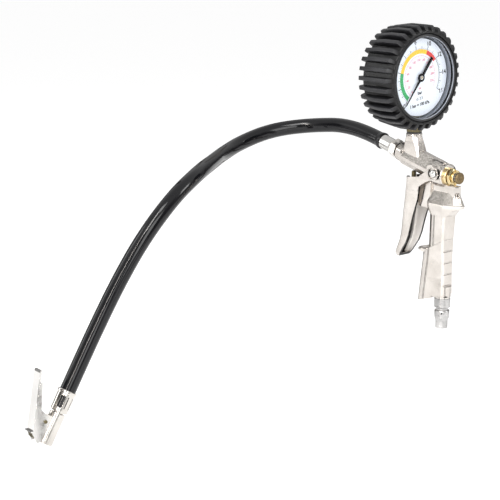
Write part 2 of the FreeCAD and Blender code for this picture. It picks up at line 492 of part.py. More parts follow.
pin = fuse([turned([(0, -7.0), (1.0, -7.0), (1.4, -6.8), (1.4, -6.1), (1.02, -6.1), (1.02, 6.1), (1.4, 6.1), (1.4, 6.8), (1.0, 7.0), (0, 7.0)])])
pin.rotate(V(0, 0, 0), V(1, 0, 0), -90)
pin.translate(V(9.2, 0, 27.8))
add("chuck_pivot_pin", chuck(pin))
jaw = Part.Face(Part.makePolygon([V(n, -2.7, t) for t, n in [(35.8, 14.0), (38.7, 13.0), (42.8, 10.0), (42.8, 4.6), (41.6, 4.3), (41.0, 5.2), (40.4, 4.3), (39.8, 5.2), (39.2, 4.3), (38.2, 5.4), (38.2, 9.0), (35.8, 10.0)]] + [V(14.0, -2.7, 35.8)])).extrude(V(0, 5.4, 0))
wing = Part.makeBox(3.4, 9.9, 3.0, V(9.4, -4.95, 39.2))
jaw = fuse([jaw, wing])
jaw = jaw.cut(Part.Face(Part.makePolygon([V(n, -8, t) for t, n in [(38.8, 14.9), (20.0, 22.4), (20.0, 40.0), (45.0, 40.0), (45.0, 12.6), (38.4, 13.4), (34.0, 14.75), (30.0, 20.0)]] + [V(14.9, -8, 38.8)])).extrude(V(0, 16, 0)))
print("jaw", len(jaw.Solids), jaw.isValid())
jaw = max(jaw.Solids, key=lambda s: s.Volume)
add("chuck_jaw", chuck(jaw))
ls = helix_spring(2.1, 0.75, 13.0, 16.8, 2.75)
ls.rotate(V(0, 0, 0), V(0, 1, 0), 90)
ls.translate(V(0, 0, 24.9))
add("chuck_lever_spring", chuck(ls))

# ================================================================ gauge
gx = (1, 0, 0)


def gauge(shape):
    return placed(shape, (0, 0, 0), (1, 0, 0), (0, 0, 1))


# Drawn about local Z, which becomes +X (towards the user).
case = turned([(0, -27.0), (CASE_R - 1.1, -27.0), (CASE_R, -25.9), (CASE_R, 2.5), (CASE_R - 1.1, 2.5), (CASE_R - 1.1, -25.9), (0, -25.9)])
case = gauge(case)
case = case.cut(cyl((NECK_X, 0, -25.0), (0, 0, -1), 4.0, 12.0))
add("gauge_case", case)
bez = turned([(33.0, 4.85), (33.2, 5.6), (34.0, 6.1), (35.2, 5.8), (BEZEL_R, 4.9), (BEZEL_R, 1.2), (35.5, 0.4), (34.0, 0.4), (34.0, 2.5), (33.95, 4.85)])
add("gauge_bezel", gauge(bez))
add("gauge_lens", gauge(turned([(0, 2.5), (33.8, 2.5), (33.8, 4.85), (0, 4.85)])))
dial = gauge(turned([(0, -0.7), (31.3, -0.7), (31.6, -0.5), (31.6, 0.0), (0, 0.0)]))
dial = dial.cut(cyl((-2, 0, 0), (1, 0, 0), 1.5, 4))
dial.translate(V(MOVE_X, 0, 0))
add("dial_plate", dial)

# Rubber boot: skin, front lip, back wall and heavy axial lugs with roofed tops.
skin = gauge(turned([(12.0, BOOT_X0 + 1.6), (12.0, BOOT_X0 + 4.0), (34.0, BOOT_X0 + 4.0), (34.0, 0.3), (36.1, 0.3), (36.1, BOOT_X1 - 0.4), (36.6, BOOT_X1),
                     (37.4, BOOT_X1), (BOOT_R, BOOT_X1 - 1.2), (BOOT_R, BOOT_X0 + 3.2), (35.6, BOOT_X0 + 1.6)]))
lugs = []
mid = (BOOT_X0 + BOOT_X1) / 2.0
for k in range(LUG_N):
    a = 360.0 * k / LUG_N
    pts = [(BOOT_R - 1.0, BOOT_X0 + 2.4), (LUG_R - 3.4, BOOT_X0 + 0.4), (LUG_R - 2.4, BOOT_X0), (LUG_R, mid), (LUG_R - 0.4, BOOT_X1 - 3.5), (BOOT_R + 0.7, BOOT_X1 - 0.4), (BOOT_R - 1.0, BOOT_X1 - 0.4)]
    f = Part.Face(Part.makePolygon([V(r, 0, x) for r, x in pts] + [V(pts[0][0], 0, pts[0][1])]))
    lug = f.extrude(V(0, 3.1, 0))
    lug.translate(V(0, -1.55, 0))
    lug.rotate(V(0, 0, 0), V(0, 0, 1), a)
    lugs.append(lug)
lugs = [gauge(l) for l in lugs]
boot = skin.fuse(lugs)
boot = boot.cut(cyl((NECK_X, 0, -30.0), (0, 0, -1), 7.3, 15.0))
boot = boot.removeSplitter()
print("boot", len(boot.Solids), boot.isValid(), round(boot.Volume))
boot = max(boot.Solids, key=lambda s: s.Volume)
add("rubber_boot", boot)

# Socket: thread, hexagon, stem and the block that carries tube and movement.
sock_z = turned([(1.4, -55.2), (4.86, -55.2), (4.86, -46.0), (5.1, -46.0), (5.1, -35.4), (3.9, -34.6), (3.9, -31.9), (1.4, -31.9)])
sock_z.translate(V(NECK_X, 0, 0))
shex = chamfered_hex(11.6, 3.6, -44.9, 0.0); shex.translate(V(NECK_X, 0, 0))
block = box(-12.5, -3.4, -6.4, 6.4, -32.9, -17.6).common(cyl((-15.0, 0, 0), (1, 0, 0), CASE_R - 1.1, 16.0))
socket = fuse([sock_z, shex, block])
socket = socket.cut(Part.makeCylinder(1.4, 34.0, V(NECK_X, 0, -55.5), V(0, 0, 1)))


def sector_tube(r0, r1, x0, x1, a0, a1):
    """Ring segment about the gauge axis; angles run from straight down towards +Y."""
    f = Part.Face(Part.makePolygon([V(x0, 0, -r0), V(x1, 0, -r0), V(x1, 0, -r1), V(x0, 0, -r1), V(x0, 0, -r0)]))
    f.rotate(V(0, 0, 0), V(1, 0, 0), a0)
    return f.revolve(V(0, 0, 0), V(1, 0, 0), a1 - a0)


# Tube slot in the block, then a small port into the stem way.
socket = socket.cut(sector_tube(20.2, 22.8, -9.2 + MOVE_X, -3.2 + MOVE_X, 336.0, 349.0))
socket = socket.cut(Part.makeCylinder(0.7, 5.0, V(NECK_X, 0, -21.2), V(0, -1, 0)))
screw_holes = [Part.makeCylinder(0.9, 4.0, V(-11.6 + MOVE_X, y, -20.4), V(1, 0, 0)) for y in (-4.2, 4.2)]
socket = socket.cut(screw_holes).removeSplitter()
print("socket", len(socket.Solids), socket.isValid())
socket = max(socket.Solids, key=lambda s: s.Volume)
add("gauge_socket", socket)
add("gauge_seal_washer", tube((NECK_X, 0, -46.0), (0, 0, 1), 6.2, 5.1, 1.1))

tube_o = sector_tube(20.2, 22.8, -9.2, -3.2, 98.0, 349.0)
tube_i = sector_tube(20.7, 22.3, -8.7, -3.7, 99.0, 350.0)
bt = tube_o.cut(tube_i).removeSplitter()
print("bourdon", len(bt.Solids), bt.isValid())
add("bourdon_tube", bt, MOVE_X)
tip = sector_tube(20.4, 22.6, -8.8, -4.4, 92.0, 98.0)
TIPP = (21.5 * math.sin(math.radians(95.0)), -21.5 * math.cos(math.radians(95.0)))
tip_pin = cyl((-4.4, TIPP[0], TIPP[1]), (1, 0, 0), 0.55, 1.6)
add("bourdon_tip", fuse([tip, tip_pin]), MOVE_X)

# Movement plates, pillars and screws.
SP_Y, SP_Z = 2.0, -math.sqrt((MODULE * 45) ** 2 - 4.0)      # sector pivot, 13.5 mm from the pinion
rear_pl = box(-12.4, -11.5, -8.0, 8.5, -22.4, 7.5)
front_pl = box(-3.0, -2.2, -8.0, 8.5, -16.9, 7.5)
holes = []
for x0 in (-13.0, -4.0):
    holes += [Part.makeCylinder(0.86, 3, V(x0, 0, 0), V(1, 0, 0)), Part.makeCylinder(0.76, 3, V(x0, SP_Y, SP_Z), V(1, 0, 0))]
holes += [Part.makeCylinder(0.9, 3, V(-4.0, -6.0, z), V(1, 0, 0)) for z in (5.4, -15.0)]
mh = [Part.makeCylinder(0.9, 3, V(-13.0, y, -20.4), V(1, 0, 0)) for y in (-4.2, 4.2)]
add("movement_rear_plate", rear_pl.cut(holes + mh), MOVE_X)
add("movement_front_plate", front_pl.cut(holes), MOVE_X)
posts = [Part.makeCylinder(1.3, 8.5, V(-11.5, y, z), V(1, 0, 0)).fuse(Part.makeCylinder(0.9, 2.3, V(-3.0, y, z), V(1, 0, 0))) for y, z in ((-6.0, 5.4), (-6.0, -15.0))]
add("movement_pillars", Part.makeCompound(posts), MOVE_X)
mscr = []
for y in (-4.2, 4.2):
    s = turned([(0, -1.8), (0.9, -1.8), (0.9, 0.9), (1.7, 0.9), (1.7, 1.7), (1.2, 2.1), (0, 2.1)])
    s = s.cut(Part.makeBox(4, 0.4, 0.6, V(-2, -0.2, 1.6)))
    mscr.append(placed(s, (-11.5, y, -20.4), (-1, 0, 0), (0, 0, 1)))
add("movement_screws", Part.makeCompound(mscr), MOVE_X)


def gear_poly(n_full, rp, k0, k1, add_h=0.24, ded_h=0.32, phase=0.0, duty=0.42):
    """Outline points of teeth k0..k1 of a full wheel of n_full teeth, pitch radius rp."""
    pitch = 2 * math.pi / n_full
    pts = []
    for k in range(k0, k1):
        c = phase + k * pitch
        for dr, da in ((-ded_h, -0.5), (-ded_h, -duty * 0.66), (add_h, -duty * 0.27), (add_h, duty * 0.27), (-ded_h, duty * 0.66)):
            pts.append((rp + dr, c + da * pitch))
    return pts


ang_ps = math.atan2(SP_Y, SP_Z)                  # pivot seen from the shaft, measured from +Z towards +Y
# Pinion with a tooth gap on the line of centres; its wheel tooth fills it at rest.
pin_pts = gear_poly(10, MODULE * 5, 0, 10, phase=math.pi / 10.0)


def polar(pts, y0, z0, a0, x):
    return [V(x, y0 + r * math.sin(a0 + a), z0 + r * math.cos(a0 + a)) for r, a in pts]


pp = polar(pin_pts, 0, 0, ang_ps, -8.4)
pinion = Part.Face(Part.makePolygon(pp + [pp[0]])).extrude(V(3.6, 0, 0))
shaft = cyl((-12.6, 0, 0), (1, 0, 0), 0.8, 14.9)
add("pinion_shaft", fuse([pinion, shaft]), MOVE_X)
# Sector: 80-tooth wheel segment, hub, and a tail arm to the link.
span_lo, span_hi = -2, 10                        # teeth either side of the line of centres at rest
pts = gear_poly(80, MODULE * 40, span_lo, span_hi)
a_up = ang_ps + math.pi
sp = polar(pts, SP_Y, SP_Z, a_up, -7.6)
lo_a, hi_a = pts[0][1], pts[-1][1]
arm_in = [V(-7.6, SP_Y + 8.6 * math.sin(a_up + a), SP_Z + 8.6 * math.cos(a_up + a)) for a in (hi_a, (lo_a + hi_a) / 2, lo_a)]
rim = Part.Face(Part.makePolygon(sp + arm_in + [sp[0]])).extrude(V(1.3, 0, 0))
am = a_up + (lo_a + hi_a) / 2
arm = box(-7.6, -6.3, -1.5, 1.5, 0.0, 9.6)
arm.rotate(V(0, 0, 0), V(1, 0, 0), -math.degrees(am))
arm.translate(V(0, SP_Y, SP_Z))
TAIL = (11.2, -10.6)
ta = math.atan2(TAIL[0] - SP_Y, TAIL[1] - SP_Z)
tl = math.hypot(TAIL[0] - SP_Y, TAIL[1] - SP_Z)
tail = box(-7.6, -6.3, -1.1, 1.1, 0.0, tl)
tail.rotate(V(0, 0, 0), V(1, 0, 0), -math.degrees(ta))
tail.translate(V(0, SP_Y, SP_Z))
hub = cyl((-7.6, SP_Y, SP_Z), (1, 0, 0), 2.2, 1.3)
tail_eye = cyl((-7.6, TAIL[0], TAIL[1]), (1, 0, 0), 1.5, 1.3)
tail_pin = cyl((-6.3, TAIL[0], TAIL[1]), (1, 0, 0), 0.5, 2.2)
sector = fuse([rim, arm, tail, hub, tail_eye, tail_pin]).cut(cyl((-9, SP_Y, SP_Z), (1, 0, 0), 0.7, 4))
print("sector", len(sector.Solids), sector.isValid())
add("sector_gear", max(sector.Solids, key=lambda s: s.Volume), MOVE_X)
add("sector_arbor", cyl((-12.3, SP_Y, SP_Z), (1, 0, 0), 0.7, 10.0), MOVE_X)
# Link from the sector tail to the tube tip, beside both pins' heads.
la_ = math.atan2(TIPP[0] - TAIL[0], TIPP[1] - TAIL[1])
ll = math.hypot(TIPP[0] - TAIL[0], TIPP[1] - TAIL[1])
lk = box(-5.6, -5.0, -0.8, 0.8, 0.0, ll - 3.2)
lk.rotate(V(0, 0, 0), V(1, 0, 0), -math.degrees(la_))
lk.translate(V(0, TAIL[0], TAIL[1]))
eye1 = cyl((-5.6, TAIL[0], TAIL[1]), (1, 0, 0), 1.3, 0.6)
link = fuse([lk, eye1]).cut(cyl((-7, TAIL[0], TAIL[1]), (1, 0, 0), 0.55, 4))
add("drag_link", max(link.Solids, key=lambda s: s.Volume), MOVE_X)

# Hairspring: flat spiral between shaft collet and the front plate.
sp_pts = []
n_turn, r_in, r_out = 4.0, 1.2, 5.2
N = 120
for k in range(N + 1):
    a = 2 * math.pi * n_turn * k / N
    r = r_in + (r_out - r_in) * k / N
    sp_pts.append((r * math.cos(a), r * math.sin(a), r))
outer_p = [V(-4.4, (r + 0.09) * c / r, (r + 0.09) * s / r) for c, s, r in sp_pts]
inner_p = [V(-4.4, (r - 0.09) * c / r, (r - 0.09) * s / r) for c, s, r in sp_pts]
hs = Part.Face(Part.makePolygon(outer_p + inner_p[::-1] + [outer_p[0]])).extrude(V(0.5, 0, 0))
collet = tube((-4.4, 0, 0), (1, 0, 0), 1.25, 0.8, 0.5)
add("hairspring", fuse([hs, collet]), MOVE_X)

# Pointer: slim tip, broad tail, brass hub.
p_a = math.radians(-135.0 + DIAL_ROT)
ptr = Part.makePolygon([V(1.5, -1.3, 0), V(1.5, -1.05, 4), V(1.5, -0.5, 17.0), V(1.5, -0.4, 26.8), V(1.5, 0, 28.2), V(1.5, 0.4, 26.8), V(1.5, 0.5, 17.0), V(1.5, 1.05, 4), V(1.5, 1.3, 0), V(1.5, 1.25, -6), V(1.5, 1.35, -19.7), V(1.5, -1.35, -19.7), V(1.5, -1.25, -6), V(1.5, -1.3, 0)])
ptr = Part.Face(ptr).extrude(V(0.5, 0, 0))
boss_p = cyl((1.2, 0, 0), (1, 0, 0), 3.4, 0.9)
ptr = fuse([ptr, boss_p])
ptr.rotate(V(0, 0, 0), V(1, 0, 0), -math.degrees(p_a))
ptr = ptr.cut(cyl((-3, 0, 0), (1, 0, 0), 0.8, 8))
add("pointer", ptr, MOVE_X)
cap = turned([(0.8, 2.1), (1.9, 2.1), (1.7, 2.35), (0.8, 2.4)])
add("pointer_hub_cap", gauge(cap), MOVE_X)

# ---------------------------------------------------------------- export
tot = 0.0
for name, s in nodes.items():
    s.exportStep("parts/%s.step" % name)
    bb = s.BoundBox
    print("%-24s solids %d vol %9.1f  x %7.1f..%7.1f y %7.1f..%7.1f z %7.1f..%7.1f" % (name, len(s.Solids), s.Volume, bb.XMin, bb.XMax, bb.YMin, bb.YMax, bb.ZMin, bb.ZMax))
print(len(nodes), "nodes")
print("offset", OFFSET, "dial centre", OFFSET)
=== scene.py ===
import bpy
import bmesh
import math
from mathutils import Matrix, Vector


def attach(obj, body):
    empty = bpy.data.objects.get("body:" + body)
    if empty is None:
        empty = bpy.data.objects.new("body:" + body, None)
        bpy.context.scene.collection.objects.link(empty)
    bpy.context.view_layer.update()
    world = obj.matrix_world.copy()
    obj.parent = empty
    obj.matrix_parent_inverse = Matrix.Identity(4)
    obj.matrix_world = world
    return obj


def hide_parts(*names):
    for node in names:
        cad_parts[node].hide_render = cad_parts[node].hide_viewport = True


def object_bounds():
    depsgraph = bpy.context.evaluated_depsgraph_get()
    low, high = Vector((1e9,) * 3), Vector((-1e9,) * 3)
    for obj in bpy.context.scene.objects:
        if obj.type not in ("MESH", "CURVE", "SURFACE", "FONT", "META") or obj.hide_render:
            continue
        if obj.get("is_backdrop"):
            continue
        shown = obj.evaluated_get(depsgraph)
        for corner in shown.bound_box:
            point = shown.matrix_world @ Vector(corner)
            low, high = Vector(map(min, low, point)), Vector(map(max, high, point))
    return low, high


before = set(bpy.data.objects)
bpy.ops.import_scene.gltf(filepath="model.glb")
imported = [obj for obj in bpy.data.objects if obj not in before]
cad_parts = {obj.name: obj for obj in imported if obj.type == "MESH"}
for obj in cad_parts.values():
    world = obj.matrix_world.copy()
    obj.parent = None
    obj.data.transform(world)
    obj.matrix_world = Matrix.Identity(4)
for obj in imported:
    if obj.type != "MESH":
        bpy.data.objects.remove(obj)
CAD_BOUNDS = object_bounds()

MM = 0.001
OFF = Vector((-32.5, 0.0, 205.0))          # gauge frame to part frame, mm
A_CAM = math.radians(51.24)
E_CAM = math.radians(13.77)


# ------------------------------------------------------------------ camera
cam_data = bpy.data.cameras.new("camera")
cam_data.lens = 90.0
cam_data.sensor_width = 36.0
cam_data.clip_start = 0.01
cam_data.clip_end = 50.0
cam = bpy.data.objects.new("camera", cam_data)
cam.location = (0.67986, -0.75099, 0.31132)
cam.rotation_euler = (math.pi / 2 - E_CAM, 0.0, A_CAM)
bpy.context.collection.objects.link(cam)
bpy.context.scene.camera = cam


# ------------------------------------------------------------------ node materials
def new_mat(name):
    m = bpy.data.materials.new(name)
    m.use_nodes = True
    nt = m.node_tree
    bsdf = nt.nodes.get("Principled BSDF")
    return m, nt, bsdf


def obj_coords(nt, scale=(1, 1, 1)):
    tc = nt.nodes.new("ShaderNodeTexCoord")
    mp = nt.nodes.new("ShaderNodeMapping")
    mp.inputs["Scale"].default_value = scale
    nt.links.new(tc.outputs["Object"], mp.inputs["Vector"])
    return mp.outputs["Vector"]


def noise(nt, vec, scale, detail=3.0, rough=0.6):
    n = nt.nodes.new("ShaderNodeTexNoise")
    n.inputs["Scale"].default_value = scale
    n.inputs["Detail"].default_value = detail
    n.inputs["Roughness"].default_value = rough
    nt.links.new(vec, n.inputs["Vector"])
    return n.outputs["Fac"]


def ramp(nt, fac, lo, hi, c0, c1):
    r = nt.nodes.new("ShaderNodeValToRGB")
    r.color_ramp.elements[0].position = lo
    r.color_ramp.elements[1].position = hi
    r.color_ramp.elements[0].color = c0
    r.color_ramp.elements[1].color = c1
    nt.links.new(fac, r.inputs["Fac"])
    return r.outputs["Color"]


def to_range(nt, fac, a, b, f0=0.3, f1=0.7):
    r = nt.nodes.new("ShaderNodeMapRange")
    r.inputs["From Min"].default_value = f0
    r.inputs["From Max"].default_value = f1
    r.inputs["To Min"].default_value = a
    r.inputs["To Max"].default_value = b
    nt.links.new(fac, r.inputs["Value"])
    return r.outputs["Result"]


def bump(nt, height, strength, dist, base=None):
    b = nt.nodes.new("ShaderNodeBump")
    b.inputs["Strength"].default_value = strength
    b.inputs["Distance"].default_value = dist
    nt.links.new(height, b.inputs["Height"])
    if base is not None:
        nt.links.new(base, b.inputs["Normal"])
    return b.outputs["Normal"]


def edge_round(nt, radius):
    b = nt.nodes.new("ShaderNodeBevel")
    b.samples = 4
    b.inputs["Radius"].default_value = radius
    return b.outputs["Normal"]


def metal(name, dark, light, r0, r1, scale=260.0, bump_s=0.12, bump_d=0.0002, bev=0.0004, metallic=1.0, coat=0.0):
    m, nt, b = new_mat(name)
    vec = obj_coords(nt)
    n1 = noise(nt, vec, scale, 4.0)
    n2 = noise(nt, vec, scale * 0.13, 3.0)
    col = ramp(nt, n2, 0.3, 0.7, dark, light)
    nt.links.new(col, b.inputs["Base Color"])
    b.inputs["Metallic"].default_value = metallic
    nt.links.new(to_range(nt, n1, r0, r1), b.inputs["Roughness"])
    if coat:
        b.inputs["Coat Weight"].default_value = coat
        b.inputs["Coat Roughness"].default_value = 0.1
    base = edge_round(nt, bev) if bev else None
    nt.links.new(bump(nt, n1, bump_s, bump_d, base), b.inputs["Normal"])
    return m


def dull(name, dark, light, r0, r1, scale=500.0, bump_s=0.25, bump_d=0.0002, coat=0.0, coat_r=0.15, spec=0.5, bev=0.0):
    m, nt, b = new_mat(name)
    vec = obj_coords(nt)
    n1 = noise(nt, vec, scale, 5.0)
    n2 = noise(nt, vec, scale * 0.08, 3.0)
    nt.links.new(ramp(nt, n2, 0.3, 0.7, dark, light), b.inputs["Base Color"])
    nt.links.new(to_range(nt, n1, r0, r1), b.inputs["Roughness"])
    b.inputs["Specular IOR Level"].default_value = spec
    if coat:
        b.inputs["Coat Weight"].default_value = coat
        b.inputs["Coat Roughness"].default_value = coat_r
    base = edge_round(nt, bev) if bev else None
    nt.links.new(bump(nt, n1, bump_s, bump_d, base), b.inputs["Normal"])
    return m


def cast_metal(name, rough_and_shade_top):
    """Satin nickel casting whose upward-leaning facets are left rough, and painted a darker grey by their facing as
    painted shade.
    """
    m, nt, b = new_mat(name)
    vec = obj_coords(nt)
    n1 = noise(nt, vec, 420.0, 4.0)
    n2 = noise(nt, vec, 55.0, 3.0)
    n3 = noise(nt, vec, 850.0, 4.0, 0.8)
    satin = ramp(nt, n2, 0.3, 0.7, (0.53, 0.49, 0.45, 1), (0.69, 0.65, 0.61, 1))
    # Painted shade: the grey colour the upward-leaning facets take from their facing direction; their roughness and
    # bump are the surface finish.
    grey = ramp(nt, n3, 0.38, 0.62, (0.16, 0.15, 0.14, 1), (0.50, 0.475, 0.44, 1))
    tc = nt.nodes.new("ShaderNodeTexCoord")
    sep = nt.nodes.new("ShaderNodeSeparateXYZ")
    nt.links.new(tc.outputs["Normal"], sep.inputs["Vector"])
    lo = nt.nodes.new("ShaderNodeMapRange")
    lo.interpolation_type = "SMOOTHSTEP"
    lo.inputs["From Min"].default_value = 0.40
    lo.inputs["From Max"].default_value = 0.47
    nt.links.new(sep.outputs["Z"], lo.inputs["Value"])
    hi = nt.nodes.new("ShaderNodeMapRange")
    hi.interpolation_type = "SMOOTHSTEP"
    hi.inputs["From Min"].default_value = 0.84
    hi.inputs["From Max"].default_value = 0.92
    hi.inputs["To Min"].default_value = rough_and_shade_top
    hi.inputs["To Max"].default_value = 0.0
    nt.links.new(sep.outputs["Z"], hi.inputs["Value"])
    mul = nt.nodes.new("ShaderNodeMath")
    mul.operation = "MULTIPLY"
    nt.links.new(lo.outputs["Result"], mul.inputs[0])
    nt.links.new(hi.outputs["Result"], mul.inputs[1])
    rough_shade_mask = mul.outputs["Value"]
    mix = nt.nodes.new("ShaderNodeMixRGB")
    nt.links.new(rough_shade_mask, mix.inputs["Fac"])
    nt.links.new(satin, mix.inputs["Color1"])
    nt.links.new(grey, mix.inputs["Color2"])
    nt.links.new(mix.outputs["Color"], b.inputs["Base Color"])
    met = to_range(nt, rough_shade_mask, 1.0, 0.55, 0.0, 1.0)
    nt.links.new(met, b.inputs["Metallic"])
    r1 = to_range(nt, n1, 0.15, 0.22)
    rmix = nt.nodes.new("ShaderNodeMath")
    rmix.operation = "MAXIMUM"
    nt.links.new(r1, rmix.inputs[0])
    nt.links.new(to_range(nt, rough_shade_mask, 0.0, 0.62, 0.0, 1.0), rmix.inputs[1])
    nt.links.new(rmix.outputs["Value"], b.inputs["Roughness"])
    base = edge_round(nt, 0.0006)
    soft = bump(nt, n1, 0.05, 0.0001, base)
    bn = nt.nodes.new("ShaderNodeBump")
    bn.inputs["Distance"].default_value = 0.0006
    nt.links.new(to_range(nt, rough_shade_mask, 0.0, 0.75, 0.0, 1.0), bn.inputs["Strength"])
    nt.links.new(n3, bn.inputs["Height"])
    nt.links.new(soft, bn.inputs["Normal"])
    nt.links.new(bn.outputs["Normal"], b.inputs["Normal"])
    return m


def channel_inside(m):
    """Inside of the trigger's channel: the inward-facing side walls are painted pale and made duller and less metallic
    as painted light, and the web that faces back is painted near black as painted shadow.
    """
    nt = m.node_tree
    b = nt.nodes.get("Principled BSDF")
    tc = nt.nodes.new("ShaderNodeTexCoord")
    sep = nt.nodes.new("ShaderNodeSeparateXYZ")
    nt.links.new(tc.outputs["Normal"], sep.inputs["Vector"])
    pos = nt.nodes.new("ShaderNodeSeparateXYZ")
    nt.links.new(tc.outputs["Object"], pos.inputs["Vector"])
    inward = nt.nodes.new("ShaderNodeMath")
    inward.operation = "MULTIPLY"
    nt.links.new(sep.outputs["Y"], inward.inputs[0])
    nt.links.new(pos.outputs["Y"], inward.inputs[1])
    wall_painted_light = nt.nodes.new("ShaderNodeMapRange")
    wall_painted_light.inputs["From Min"].default_value = -0.0010
    wall_painted_light.inputs["From Max"].default_value = -0.0025
    nt.links.new(inward.outputs["Value"], wall_painted_light.inputs["Value"])
    web_painted_shadow = nt.nodes.new("ShaderNodeMapRange")
    web_painted_shadow.interpolation_type = "SMOOTHSTEP"
    web_painted_shadow.inputs["From Min"].default_value = 0.62
    web_painted_shadow.inputs["From Max"].default_value = 0.80
    nt.links.new(sep.outputs["X"], web_painted_shadow.inputs["Value"])
    old = b.inputs["Base Color"].links[0].from_socket
    # Painted light: a pale colour on the inward-facing side walls of the channel.
    wall_light_mix = nt.nodes.new("ShaderNodeMixRGB")
    wall_light_mix.inputs["Color2"].default_value = (0.95, 0.91, 0.87, 1)
    nt.links.new(wall_painted_light.outputs["Result"], wall_light_mix.inputs["Fac"])
    nt.links.new(old, wall_light_mix.inputs["Color1"])
    # Painted shadow: near black on the back-facing web inside the channel.
    mix = nt.nodes.new("ShaderNodeMixRGB")
    mix.inputs["Color2"].default_value = (0.015, 0.013, 0.012, 1)
    nt.links.new(web_painted_shadow.outputs["Result"], mix.inputs["Fac"])
    nt.links.new(wall_light_mix.outputs["Color"], mix.inputs["Color1"])
    nt.links.new(mix.outputs["Color"], b.inputs["Base Color"])
    met = nt.nodes.new("ShaderNodeMath")
    met.operation = "MULTIPLY"
    nt.links.new(b.inputs["Metallic"].links[0].from_socket, met.inputs[0])
    nt.links.new(to_range(nt, wall_painted_light.outputs["Result"], 1.0, 0.15, 0.0, 1.0), met.inputs[1])
    nt.links.new(met.outputs["Value"], b.inputs["Metallic"])
    rg = nt.nodes.new("ShaderNodeMath")
    rg.operation = "MAXIMUM"
    nt.links.new(b.inputs["Roughness"].links[0].from_socket, rg.inputs[0])
    nt.links.new(to_range(nt, wall_painted_light.outputs["Result"], 0.0, 0.5, 0.0, 1.0), rg.inputs[1])
    nt.links.new(rg.outputs["Value"], b.inputs["Roughness"])
    return m


CAST = cast_metal("cast_nickel", 1.0)
CAST_TRIGGER = channel_inside(cast_metal("cast_trigger", 0.35))
STEEL = metal("bright_nickel", (0.56, 0.545, 0.525, 1), (0.68, 0.665, 0.645, 1), 0.10, 0.20, 300.0, 0.04, 0.0001, 0.0003)
NICKEL = metal("plated_nickel", (0.54, 0.51, 0.475, 1), (0.66, 0.635, 0.60, 1), 0.12, 0.22, 300.0, 0.07, 0.00012, 0.0003)
PLUG = metal("plug_steel", (0.34, 0.335, 0.33, 1), (0.62, 0.61, 0.60, 1), 0.22, 0.42, 420.0, 0.14, 0.00015, 0.0003)
BRASS = metal("brass", (0.60, 0.47, 0.24, 1), (0.76, 0.62, 0.36, 1), 0.16, 0.30, 300.0, 0.06, 0.0001, 0.0003)
BRASS_DARK = metal("brass_dark", (0.16, 0.115, 0.06, 1), (0.30, 0.22, 0.12, 1), 0.25, 0.4, 300.0, 0.08, 0.0001, 0.0003)
OLIVE = metal("brass_olive", (0.10, 0.085, 0.05, 1), (0.20, 0.17, 0.10, 1), 0.28, 0.42, 300.0, 0.08, 0.0001, 0.0003)
BLACK_STEEL = metal("black_oxide", (0.012, 0.012, 0.013, 1), (0.03, 0.03, 0.032, 1), 0.22, 0.34, 300.0, 0.06, 0.0001, 0.0003, metallic=0.6)
CASE = metal("case_black", (0.008, 0.008, 0.009, 1), (0.018, 0.018, 0.020, 1), 0.26, 0.38, 500.0, 0.08, 0.0001, 0.0004, metallic=0.2)
RUBBER = dull("boot_rubber", (0.012, 0.012, 0.014, 1), (0.021, 0.021, 0.024, 1), 0.32, 0.44, 900.0, 0.22, 0.0002, spec=0.4)
HOSE_M = dull("hose_rubber", (0.003, 0.003, 0.004, 1), (0.006, 0.006, 0.007, 1), 0.07, 0.12, 500.0, 0.03, 0.0001, spec=0.34)
def radial_mix(m, r0, r1, inner, metallic=None):
    """Blend to another colour towards the gauge axis, by distance from it in the part's own frame."""
    nt = m.node_tree
    b = nt.nodes.get("Principled BSDF")
    tc = nt.nodes.new("ShaderNodeTexCoord")
    sub = nt.nodes.new("ShaderNodeVectorMath")
    sub.operation = "SUBTRACT"
    sub.inputs[1].default_value = (0.0, 0.0, 0.205)
    nt.links.new(tc.outputs["Object"], sub.inputs[0])
    flat = nt.nodes.new("ShaderNodeVectorMath")
    flat.operation = "MULTIPLY"
    flat.inputs[1].default_value = (0.0, 1.0, 1.0)
    nt.links.new(sub.outputs["Vector"], flat.inputs[0])
    ln = nt.nodes.new("ShaderNodeVectorMath")
    ln.operation = "LENGTH"
    nt.links.new(flat.outputs["Vector"], ln.inputs[0])
    mr = nt.nodes.new("ShaderNodeMapRange")
    mr.inputs["From Min"].default_value = r0
    mr.inputs["From Max"].default_value = r1
    nt.links.new(ln.outputs["Value"], mr.inputs["Value"])
    old = b.inputs["Base Color"].links[0].from_socket
    mix = nt.nodes.new("ShaderNodeMixRGB")
    mix.inputs["Color1"].default_value = inner
    nt.links.new(mr.outputs["Result"], mix.inputs["Fac"])
    nt.links.new(old, mix.inputs["Color2"])
    nt.links.new(mix.outputs["Color"], b.inputs["Base Color"])
    return m


# Painted shade: the boot's groove floors, nearer the gauge axis than the lug tops, are darkened to near black.
radial_mix(RUBBER, 0.0388, 0.0424, (0.003, 0.003, 0.0035, 1))
radial_mix(CASE, 0.0332, 0.0336, (0.30, 0.32, 0.36, 1))
SEAL = dull("seal_rubber", (0.02, 0.02, 0.02, 1), (0.03, 0.03, 0.03, 1), 0.5, 0.65)
SPRING = metal("spring_wire", (0.45, 0.45, 0.46, 1), (0.62, 0.62, 0.63, 1), 0.22, 0.34, 400.0, 0.05, 0.0001, 0.0)
DIAL = dull("dial_white", (0.83, 0.87, 0.93, 1), (0.86, 0.90, 0.96, 1), 0.32, 0.42, 300.0, 0.03, 0.0001)
BLACK_PRINT = dull("print_black", (0.008, 0.008, 0.009, 1), (0.014, 0.014, 0.015, 1), 0.35, 0.45, 300.0, 0.03, 0.0001)
GREY_PRINT = dull("print_grey", (0.30, 0.31, 0.33, 1), (0.36, 0.37, 0.39, 1), 0.35, 0.45, 300.0, 0.03, 0.0001)
